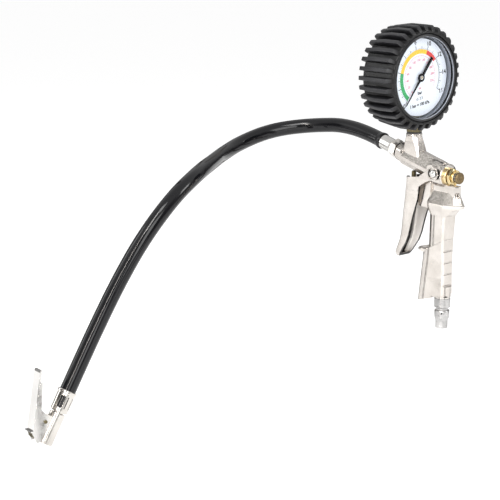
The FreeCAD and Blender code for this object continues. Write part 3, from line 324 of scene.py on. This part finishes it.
RED_PRINT = dull("print_red", (0.66, 0.05, 0.05, 1), (0.74, 0.08, 0.07, 1), 0.35, 0.45, 300.0, 0.03, 0.0001)
PINK_PRINT = dull("print_pink", (0.64, 0.14, 0.20, 1), (0.72, 0.20, 0.26, 1), 0.35, 0.45, 300.0, 0.03, 0.0001)
YEL_PRINT = dull("print_yellow", (0.90, 0.55, 0.05, 1), (0.94, 0.62, 0.08, 1), 0.35, 0.45, 300.0, 0.03, 0.0001)
GRN_PRINT = dull("print_green", (0.04, 0.36, 0.12, 1), (0.06, 0.43, 0.15, 1), 0.35, 0.45, 300.0, 0.03, 0.0001)
POINTER = dull("pointer_black", (0.004, 0.004, 0.005, 1), (0.008, 0.008, 0.009, 1), 0.5, 0.6, 300.0, 0.05, 0.0001, spec=0.15)


def lens_material():
    m = bpy.data.materials.new("lens_glass")
    m.use_nodes = True
    nt = m.node_tree
    for n in list(nt.nodes):
        nt.nodes.remove(n)
    out = nt.nodes.new("ShaderNodeOutputMaterial")
    tr = nt.nodes.new("ShaderNodeBsdfTransparent")
    tr.inputs["Color"].default_value = (0.985, 0.99, 0.995, 1)
    gl = nt.nodes.new("ShaderNodeBsdfGlossy")
    gl.inputs["Roughness"].default_value = 0.06
    fr = nt.nodes.new("ShaderNodeFresnel")
    fr.inputs["IOR"].default_value = 1.10
    vec = obj_coords(nt)
    n = noise(nt, vec, 60.0, 2.0)
    nt.links.new(to_range(nt, n, 0.04, 0.09), gl.inputs["Roughness"])
    mix = nt.nodes.new("ShaderNodeMixShader")
    nt.links.new(fr.outputs["Fac"], mix.inputs["Fac"])
    nt.links.new(tr.outputs["BSDF"], mix.inputs[1])
    nt.links.new(gl.outputs["BSDF"], mix.inputs[2])
    nt.links.new(mix.outputs["Shader"], out.inputs["Surface"])
    return m


LENS = lens_material()

NODE_MATS = {
    "gun_body": CAST, "inlet_plug": PLUG, "inlet_seal_washer": NICKEL, "valve_cartridge": OLIVE, "stem_o_ring": SEAL,
    "cartridge_seal_ring": SEAL, "valve_stem": BRASS, "valve_poppet_seal": SEAL, "valve_spring": SPRING,
    "bleed_valve_body": BRASS, "bleed_lock_nut": BRASS, "bleed_button": BRASS_DARK, "bleed_seal_ring": SEAL, "bleed_spring": SPRING,
    "trigger": CAST_TRIGGER, "trigger_stop_screw": OLIVE, "trigger_stop_nut": OLIVE, "trigger_pivot_screws": STEEL,
    "hose_fitting": NICKEL, "fitting_sleeve": STEEL, "fitting_seal_washer": SEAL, "hose_end_collar": BLACK_STEEL, "hose": HOSE_M,
    "chuck_ferrule": NICKEL, "chuck_body": NICKEL, "chuck_mouth_seal": SEAL, "chuck_depressor": BRASS, "chuck_lever": STEEL,
    "chuck_pivot_pin": OLIVE, "chuck_jaw": OLIVE, "chuck_lever_spring": SPRING,
    "gauge_case": CASE, "gauge_bezel": CASE, "gauge_lens": LENS, "dial_plate": DIAL, "rubber_boot": RUBBER,
    "gauge_socket": OLIVE, "gauge_seal_washer": SEAL, "bourdon_tube": BRASS, "bourdon_tip": BRASS,
    "movement_rear_plate": BRASS, "movement_front_plate": BRASS, "movement_pillars": BRASS, "movement_screws": STEEL,
    "pinion_shaft": BRASS, "sector_gear": BRASS, "sector_arbor": STEEL, "drag_link": BRASS, "hairspring": SPRING,
    "pointer": POINTER, "pointer_hub_cap": STEEL,
}
for name, mat in NODE_MATS.items():
    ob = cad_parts.get(name)
    if ob is None:
        continue
    if not ob.material_slots:
        ob.data.materials.append(mat)
    for s in ob.material_slots:
        s.material = mat


# ------------------------------------------------------------------ mesh helpers
def G(x, y, z):
    """A point in the gauge frame, in millimetres, as a part-frame vector in metres."""
    return Vector(((x + OFF.x) * MM, (y + OFF.y) * MM, (z + OFF.z) * MM))


def make_mesh(name, verts, faces, mat, body, smooth=None):
    me = bpy.data.meshes.new(name)
    me.from_pydata([tuple(v) for v in verts], [], faces)
    me.validate()
    me.update()
    bm = bmesh.new()
    bm.from_mesh(me)
    bmesh.ops.remove_doubles(bm, verts=bm.verts, dist=1e-7)
    bmesh.ops.recalc_face_normals(bm, faces=bm.faces)
    bm.to_mesh(me)
    bm.free()
    ob = bpy.data.objects.new(name, me)
    bpy.context.collection.objects.link(ob)
    me.materials.append(mat)
    if smooth is not None:
        me.polygons.foreach_set("use_smooth", [True] * len(me.polygons))
        me.set_sharp_from_angle(angle=math.radians(smooth))
    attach(ob, body)
    return ob


# ------------------------------------------------------------------ hose
f0x, f0z = -19.5, -62.0 - (-19.5 + 23.0) * math.tan(math.radians(14.5))
ct, st = math.cos(math.radians(14.5)), math.sin(math.radians(14.5))
hx, hz = f0x - ct * 27.06, f0z + st * 27.06
ROUTE = [(hx, 0.0, hz), (hx - 33.0, 0.0, hz + 33.0 * st / ct), (-115.5, -17.5, -50.0), (-136.5, -45.0, -54.5), (-142.0, -75.5, -63.2),
         (-131.5, -106.0, -70.3), (-106.2, -134.1, -69.7), (-82.1, -165.0, -71.0), (-70.5, -198.7, -85.2), (-70.1, -228.2, -113.8),
         (-73.3, -249.3, -145.3), (-75.2, -268.3, -177.0), (-75.4, -286.8, -207.8), (-74.9, -304.8, -237.4)]
curve = bpy.data.curves.new("hose_line", "CURVE")
curve.dimensions = "3D"
sp = curve.splines.new("NURBS")
sp.points.add(len(ROUTE) - 1)
for p, q in zip(sp.points, ROUTE):
    v = G(*q)
    p.co = (v.x, v.y, v.z, 1.0)
sp.order_u = 3
sp.use_endpoint_u = True
sp.resolution_u = 14
curve.bevel_depth = 6.35 * MM
curve.bevel_resolution = 10
curve.use_fill_caps = True
hose = bpy.data.objects.new("hose_line", curve)
bpy.context.collection.objects.link(hose)
curve.materials.append(HOSE_M)
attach(hose, "gun")
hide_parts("hose")


# ------------------------------------------------------------------ rubber boot
FLOOR = [(34.05, -26.95), (34.05, 0.3), (36.1, 0.3), (36.1, 5.3), (36.3, 5.8), (36.7, 6.0), (37.2, 6.0), (37.8, 5.7),
         (38.05, 5.2), (38.15, 4.0), (38.2, 2.4), (38.2, -3.0), (38.2, -9.0), (38.2, -15.0), (38.2, -21.0), (38.2, -25.5), (38.1, -27.2), (37.8, -28.3), (37.2, -29.0), (36.4, -29.3),
         (35.0, -29.4), (24.0, -29.4), (12.8, -29.4), (12.2, -29.2), (12.0, -28.8), (12.0, -27.2), (12.2, -26.95)]
LUG = [(34.05, -26.95), (34.05, 0.3), (36.1, 0.3), (36.1, 5.3), (36.3, 5.8), (36.7, 6.0), (37.4, 6.0), (38.2, 5.85),
       (39.2, 5.35), (41.4, 4.0), (43.0, 2.6), (43.15, -2.0), (43.3, -7.0), (43.4, -12.5), (42.6, -19.0), (41.7, -25.5), (41.2, -29.6), (40.9, -30.6), (40.2, -30.95), (39.2, -30.9),
       (36.6, -30.2), (24.0, -29.4), (12.8, -29.4), (12.2, -29.2), (12.0, -28.8), (12.0, -27.2), (12.2, -26.95)]
ANG = [(-4.4, 0.0), (-3.1, 0.0), (-2.85, 0.03), (-2.62, 0.16), (-2.5, 0.5), (-2.4, 0.86), (-2.2, 0.97), (-1.9, 1.0), (-0.6, 1.0), (0.6, 1.0), (1.9, 1.0),
       (2.2, 0.97), (2.4, 0.86), (2.5, 0.5), (2.62, 0.16), (2.85, 0.03), (3.1, 0.0), (4.4, 0.0)]
verts, faces = [], []
NP = len(FLOOR)
cols = []
for k in range(32):
    for da, b in ANG:
        cols.append((math.radians(360.0 * k / 32 + da), b))
for a, b in cols:
    for (r0, x0), (r1, x1) in zip(FLOOR, LUG):
        r = r0 + (r1 - r0) * b
        x = x0 + (x1 - x0) * b
        verts.append(G(x, r * math.sin(a), r * math.cos(a)))
NC = len(cols)
for i in range(NC):
    j = (i + 1) % NC
    for p in range(NP):
        q = (p + 1) % NP
        faces.append((i * NP + p, i * NP + q, j * NP + q, j * NP + p))
boot = make_mesh("boot_moulding", verts, faces, RUBBER, "gun", smooth=40)
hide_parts("rubber_boot")


# ------------------------------------------------------------------ dial print
A0, PER, DX = -143.0, 16.2, -1.0          # clock angle of 0 bar, degrees per bar, dial face


def on_dial(r, deg, h=0.06):
    a = math.radians(deg)
    return G(DX + h, r * math.sin(a), r * math.cos(a))


def ring_arc(name, r0, r1, a0, a1, mat, h=0.06, step=1.5, r0b=None, r1b=None):
    n = max(2, int(abs(a1 - a0) / step))
    vs, fs = [], []
    for i in range(n + 1):
        t = i / n
        a = a0 + (a1 - a0) * t
        ri = r0 + ((r0b if r0b is not None else r0) - r0) * t
        ro = r1 + ((r1b if r1b is not None else r1) - r1) * t
        vs += [on_dial(ri, a, h), on_dial(ro, a, h), on_dial(ro, a, 0.0), on_dial(ri, a, 0.0)]
    for i in range(n):
        o, p = i * 4, (i + 1) * 4
        fs += [(o, o + 1, p + 1, p), (o + 1, o + 2, p + 2, p + 1), (o + 2, o + 3, p + 3, p + 2), (o + 3, o, p, p + 3)]
    fs += [(0, 1, 2, 3), (n * 4, n * 4 + 3, n * 4 + 2, n * 4 + 1)]
    return make_mesh(name, vs, fs, mat, "gun")


def val(v):
    return A0 + PER * v


ring_arc("band_green", 19.4, 22.9, val(0), val(4), GRN_PRINT)
ring_arc("band_yellow", 19.4, 22.9, val(4), val(10), YEL_PRINT)
ring_arc("band_red", 19.4, 22.9, val(10), val(12), RED_PRINT)
ring_arc("band_end", 22.2, 22.9, val(12), val(16), GREY_PRINT)
ring_arc("psi_line", 17.7, 17.9, val(0), val(16), PINK_PRINT, h=0.07)


def ticks(name, items, mat):
    vs, fs = [], []
    for r0, r1, deg, w in items:
        a = math.radians(deg)
        rad = Vector((0, math.sin(a), math.cos(a)))
        tan = Vector((0, math.cos(a), -math.sin(a)))
        o = len(vs)
        for h in (0.0, 0.08):
            for r, s in ((r0, -1), (r1, -1), (r1, 1), (r0, 1)):
                q = rad * r + tan * (s * w / 2)
                vs.append(G(DX + h, q.y, q.z))
        fs += [(o, o + 1, o + 2, o + 3), (o + 4, o + 5, o + 6, o + 7)] + [(o + i, o + (i + 1) % 4, o + 4 + (i + 1) % 4, o + 4 + i) for i in range(4)]
    return make_mesh(name, vs, fs, mat, "gun")


major = [(22.9, 26.2, val(v), 0.50) for v in range(0, 17, 2)]
mid_t = [(22.9, 25.4, val(v), 0.34) for v in range(1, 16, 2)]
minor = [(22.9, 24.3, val(v * 0.2), 0.16) for v in range(0, 81) if v % 5]
ticks("bar_ticks", major + mid_t + minor, BLACK_PRINT)
PSI = 0.0689476
psi_big = [(16.2, 17.8, val(p * PSI), 0.24) for p in range(0, 231, 20)]
psi_small = [(16.9, 17.8, val(p * PSI), 0.12) for p in range(0, 231, 5) if p % 20]
ticks("psi_ticks", psi_big + psi_small, PINK_PRINT)


def dial_text(name, text, r, deg, size, mat, tilt=-8.0, dy=0.0, dz=0.0):
    cu = bpy.data.curves.new(name, "FONT")
    cu.body = text
    cu.size = size * MM
    cu.align_x = "CENTER"
    cu.align_y = "CENTER"
    cu.extrude = 0.00003
    cu.offset = 0.00012 if size > 3.5 else 0.00003
    ob = bpy.data.objects.new(name, cu)
    bpy.context.collection.objects.link(ob)
    a = math.radians(deg)
    p = G(DX + 0.05, r * math.sin(a) + dy, r * math.cos(a) + dz)
    t = math.radians(tilt)
    xl = Vector((0, math.cos(t), -math.sin(t)))
    yl = Vector((0, math.sin(t), math.cos(t)))
    zl = Vector((1, 0, 0))
    ob.matrix_world = Matrix(((xl.x, yl.x, zl.x, p.x), (xl.y, yl.y, zl.y, p.y), (xl.z, yl.z, zl.z, p.z), (0, 0, 0, 1)))
    cu.materials.append(mat)
    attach(ob, "gun")
    return ob


for v in range(0, 17, 2):
    dial_text("num_%02d" % v, str(v), 28.3, val(v), 5.0, BLACK_PRINT)
for p in range(0, 221, 20):
    dial_text("psi_%03d" % p, str(p), 14.4, val(p * PSI), 2.8, PINK_PRINT)
dial_text("unit_bar", "bar", 0, 0, 3.8, BLACK_PRINT, dy=0.4, dz=-12.6)
dial_text("unit_psi", "psi", 0, 0, 2.6, PINK_PRINT, dy=0.4, dz=-8.6)
dial_text("unit_note", "1 bar = 100 kPa", 0, 0, 3.55, BLACK_PRINT, dy=0.6, dz=-22.2)
dial_text("unit_class", "cl. 2.5", 0, 0, 3.2, BLACK_PRINT, dy=0.4, dz=-17.2)


# ------------------------------------------------------------------ floor, light, world
low = min(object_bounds()[0][2], CAD_BOUNDS[0][2]) - 0.03
fm, fnt, fb = new_mat("floor_pale")
fb.inputs["Base Color"].default_value = (0.93, 0.93, 0.93, 1)
fb.inputs["Emission Color"].default_value = (1, 1, 1, 1)
fb.inputs["Emission Strength"].default_value = 0.24
fb.inputs["Roughness"].default_value = 0.9
fb.inputs["Specular IOR Level"].default_value = 0.0
me = bpy.data.meshes.new("floor")
s = 12.0
me.from_pydata([(-s, -s, low), (s, -s, low), (s, s, low), (-s, s, low)], [], [(0, 1, 2, 3)])
me.materials.append(fm)
floor = bpy.data.objects.new("floor", me)
bpy.context.collection.objects.link(floor)
floor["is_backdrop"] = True

# Upright studio flags and strips: they stand around the object and are only
# there for the metal to reflect.
CENTRE = (-0.03, 0.0)


def flag(name, az, width, dist, z0, z1, value):
    fm2 = bpy.data.materials.new(name)
    fm2.use_nodes = True
    n2 = fm2.node_tree
    for q in list(n2.nodes):
        n2.nodes.remove(q)
    o2 = n2.nodes.new("ShaderNodeOutputMaterial")
    e2 = n2.nodes.new("ShaderNodeEmission")
    e2.inputs["Color"].default_value = (value, value * 0.94, value * 0.88, 1)
    n2.links.new(e2.outputs["Emission"], o2.inputs["Surface"])
    a = math.radians(az)
    c, t = (math.cos(a), math.sin(a)), (-math.sin(a), math.cos(a))
    x, y = CENTRE[0] + c[0] * dist, CENTRE[1] + c[1] * dist
    h = width / 2
    m2 = bpy.data.meshes.new(name)
    m2.from_pydata([(x - t[0] * h, y - t[1] * h, z0), (x + t[0] * h, y + t[1] * h, z0), (x + t[0] * h, y + t[1] * h, z1), (x - t[0] * h, y - t[1] * h, z1)], [], [(0, 1, 2, 3)])
    m2.materials.append(fm2)
    ob = bpy.data.objects.new(name, m2)
    bpy.context.collection.objects.link(ob)
    ob.visible_camera = False
    ob.visible_diffuse = False
    ob.visible_shadow = False
    ob.visible_transmission = False
    ob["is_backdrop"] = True
    return ob


for k, (az, w, d, v) in enumerate(((168, 0.040, 0.27, 0.25), (-170, 0.020, 0.27, 0.12), (-144, 0.022, 0.27, 0.08),
                                   (-84, 0.045, 0.30, 0.12), (-14, 0.060, 0.34, 0.22), (66, 0.050, 0.30, 0.25), (104, 0.050, 0.30, 0.15))):
    flag("flag_%d" % k, az, w, d, low + 0.001, 0.30, v)
flag("strip_left", -72, 0.028, 0.85, low + 0.001, 1.3, 45.0)

world = bpy.data.worlds.new("world")
bpy.context.scene.world = world
world.use_nodes = True
wn = world.node_tree
for n in list(wn.nodes):
    wn.nodes.remove(n)
wo = wn.nodes.new("ShaderNodeOutputWorld")
bg1 = wn.nodes.new("ShaderNodeBackground")
geo = wn.nodes.new("ShaderNodeTexCoord")
sepw = wn.nodes.new("ShaderNodeSeparateXYZ")
wn.links.new(geo.outputs["Generated"], sepw.inputs["Vector"])
# Brightness by height: soft white overhead, greyer walls near the horizon.
rz = wn.nodes.new("ShaderNodeValToRGB")
el = rz.color_ramp.elements
el[0].position = 0.0
el[0].color = (0.80, 0.80, 0.80, 1)
el[1].position = 1.0
el[1].color = (1.0, 1.0, 1.0, 1)
for pos, c in ((0.46, 0.62), (0.52, 0.34), (0.60, 0.30), (0.70, 0.62), (0.82, 1.15)):
    e = el.new(pos)
    e.color = (c, c, c, 1)
mrz = wn.nodes.new("ShaderNodeMapRange")
mrz.inputs["From Min"].default_value = -1.0
mrz.inputs["From Max"].default_value = 1.0
wn.links.new(sepw.outputs["Z"], mrz.inputs["Value"])
wn.links.new(mrz.outputs["Result"], rz.inputs["Fac"])
# Upright strip panels and dark gaps around the walls, by compass angle.
at = wn.nodes.new("ShaderNodeMath")
at.operation = "ARCTAN2"
wn.links.new(sepw.outputs["Y"], at.inputs[0])
wn.links.new(sepw.outputs["X"], at.inputs[1])
mra = wn.nodes.new("ShaderNodeMapRange")
mra.inputs["From Min"].default_value = -math.pi
mra.inputs["From Max"].default_value = math.pi
wn.links.new(at.outputs["Value"], mra.inputs["Value"])
ra = wn.nodes.new("ShaderNodeValToRGB")
ea = ra.color_ramp.elements
WALL = [(-180, 1.0), (-150, 1.0), (-142, 0.55), (-128, 0.5), (-122, 2.6), (-110, 2.6), (-104, 0.5), (-84, 0.45), (-74, 1.5), (-60, 1.5),
        (-52, 0.35), (-36, 0.35), (-28, 1.8), (-10, 1.8), (-2, 0.5), (22, 0.5), (34, 1.4), (60, 1.2), (100, 0.7), (150, 1.1), (180, 1.0)]
ea[0].position = 0.0
ea[0].color = (1, 1, 1, 1)
ea[1].position = 1.0
ea[1].color = (1, 1, 1, 1)
for deg, c in WALL[1:-1]:
    e = ea.new((deg + 180.0) / 360.0)
    e.color = (c, c, c, 1)
wn.links.new(mra.outputs["Result"], ra.inputs["Fac"])
# The strips fade out towards the zenith and below the horizon.
fade = wn.nodes.new("ShaderNodeMapRange")
fade.inputs["From Min"].default_value = 0.75
fade.inputs["From Max"].default_value = 0.40
wn.links.new(sepw.outputs["Z"], fade.inputs["Value"])
one = wn.nodes.new("ShaderNodeMixRGB")
one.inputs["Color1"].default_value = (1, 1, 1, 1)
wn.links.new(fade.outputs["Result"], one.inputs["Fac"])
wn.links.new(ra.outputs["Color"], one.inputs["Color2"])
mulw = wn.nodes.new("ShaderNodeMixRGB")
mulw.blend_type = "MULTIPLY"
mulw.inputs["Fac"].default_value = 1.0
wn.links.new(rz.outputs["Color"], mulw.inputs["Color1"])
wn.links.new(one.outputs["Color"], mulw.inputs["Color2"])
wn.links.new(mulw.outputs["Color"], bg1.inputs["Color"])
bg1.inputs["Strength"].default_value = 0.85
wn.links.new(bg1.outputs["Background"], wo.inputs["Surface"])


def area(name, loc, target, size, power, size_y=None):
    ld = bpy.data.lights.new(name, "AREA")
    ld.energy = power
    ld.size = size
    if size_y:
        ld.shape = "RECTANGLE"
        ld.size_y = size_y
    ob = bpy.data.objects.new(name, ld)
    ob.location = loc
    d = Vector(target) - Vector(loc)
    ob.rotation_euler = d.to_track_quat("-Z", "Y").to_euler()
    bpy.context.collection.objects.link(ob)
    return ob


T = (-0.03, -0.08, 0.12)
area("key", (0.35, -0.75, 1.15), T, 0.55, 7.0)
area("fill", (-0.9, -0.9, 0.5), T, 0.18, 2.6, 0.9)
area("rim", (0.9, 0.8, 0.8), T, 0.4, 3.5)
area("front", (0.75, -0.55, 0.45), T, 0.6, 4.5)

bpy.context.scene.view_settings.view_transform = "Standard"
bpy.context.scene.view_settings.look = "None"

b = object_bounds()
